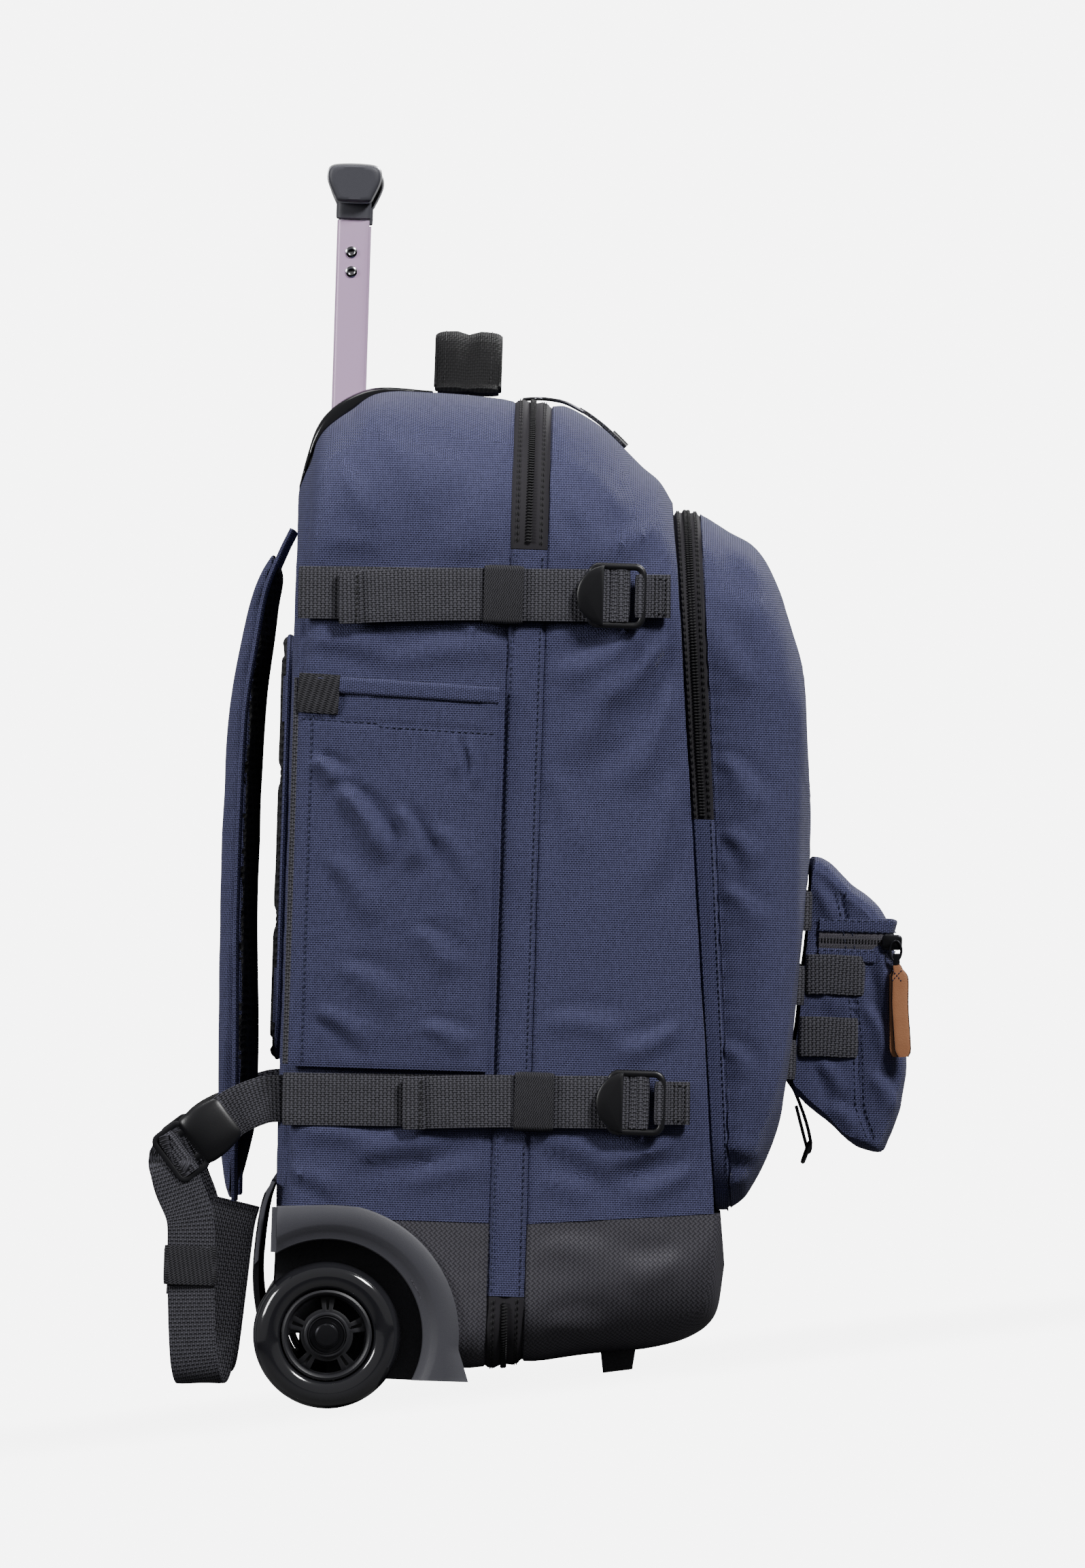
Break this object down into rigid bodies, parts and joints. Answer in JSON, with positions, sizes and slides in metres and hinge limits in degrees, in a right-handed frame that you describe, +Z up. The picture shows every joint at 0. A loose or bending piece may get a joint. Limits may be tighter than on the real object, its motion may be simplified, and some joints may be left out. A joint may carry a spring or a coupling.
{
  "type": "wheeled backpack",
  "caption": "Cabin-size cloth backpack on two inline wheels with a telescopic trolley handle, buckled side straps, domed front pocket and a small pouch.",
  "frame": {"origin": "on the ground under the middle of the whole bag as it stands on its wheels and feet", "axes": "+Z up, -Y towards the front of the bag with its pouch, X across the bag along the wheel axle"},
  "size_m": [0.3612, 0.4229, 0.6708],
  "materials": {
    "navy": "plain-woven polyester, matte",
    "coated": "coated textured fabric",
    "webbing": "ribbed polyester webbing",
    "mesh": "spacer mesh",
    "zip_tape": "woven tape with coil teeth",
    "housing_plastic": "fine-grain moulded plastic",
    "buckle_plastic": "fine-grain moulded plastic",
    "gloss_plastic": "moulded plastic, half gloss",
    "lilac_tube": "anodised, satin",
    "tyre": "glossy polyurethane",
    "steel": "plated",
    "leather": "smooth tan leather"
  },
  "bodies": {
    "bag": {"rear_shell": "navy", "front_shell": "navy", "pocket_gusset": "navy", "front_pocket": "navy", "pouch": "navy", "gusset_side_left": "navy", "gusset_side_right": "navy", "side_pocket_left": "navy", "side_pocket_right": "navy", "shoulder_strap_left": "navy", "shoulder_strap_right": "navy", "rear_base": "coated", "front_base": "coated", "gusset_zip_top": "zip_tape", "gusset_zip_bottom": "zip_tape", "pocket_zip": "zip_tape", "pouch_zip": "zip_tape", "back_pad": "mesh", "grab_handle": "webbing", "row_band_1": "webbing", "row_band_2": "webbing", "ring_tab": "webbing", "strap_upper_left": "webbing", "strap_upper_right": "webbing", "strap_lower_left": "webbing", "strap_lower_right": "webbing", "anchor_upper_left": "webbing", "anchor_upper_right": "webbing", "anchor_lower_left": "webbing", "anchor_lower_right": "webbing", "stub_left": "webbing", "stub_right": "webbing", "tail_loop_left": "webbing", "tail_loop_right": "webbing", "buckle_upper_left": "buckle_plastic", "buckle_upper_right": "buckle_plastic", "buckle_lower_left": "buckle_plastic", "buckle_lower_right": "buckle_plastic", "buckle_socket_left": "buckle_plastic", "buckle_socket_right": "buckle_plastic", "buckle_plug_left": "buckle_plastic", "buckle_plug_right": "buckle_plastic", "handle_tray": "gloss_plastic", "back_plate": "housing_plastic", "wheel_housing_left": "housing_plastic", "wheel_housing_right": "housing_plastic", "outer_tube_left": "housing_plastic", "outer_tube_right": "housing_plastic", "foot_left": "housing_plastic", "foot_right": "housing_plastic", "zip_pull": "steel", "pouch_pull": "leather"},
    "handle": {"inner_tube_left": "lilac_tube", "inner_tube_right": "lilac_tube", "grip": "gloss_plastic"},
    "button": {"release_button": "gloss_plastic"},
    "wheel_left": {"tyre_left": "tyre", "hub_left": "housing_plastic"},
    "wheel_right": {"tyre_right": "tyre", "hub_right": "housing_plastic"}
  },
  "joints": [
    {"name": "handle_slide", "type": "slide", "parent": "bag", "child": "handle", "axis": [0, -0.1535, 0.9881], "range_m": [-0.093, 0.3]},
    {"name": "button_press", "type": "slide", "parent": "handle", "child": "button", "axis": [0, 0.1535, -0.9881], "range_m": [0, 0.003], "stiffness_N_per_m": 800, "springref_m": -0.002},
    {"name": "wheel_left_spin", "type": "hinge", "parent": "bag", "child": "wheel_left", "pos_m": [-0.156, 0.1255, 0.04], "axis": [1, 0, 0], "continuous": true},
    {"name": "wheel_right_spin", "type": "hinge", "parent": "bag", "child": "wheel_right", "pos_m": [0.156, 0.1255, 0.04], "axis": [1, 0, 0], "continuous": true}
  ]
}
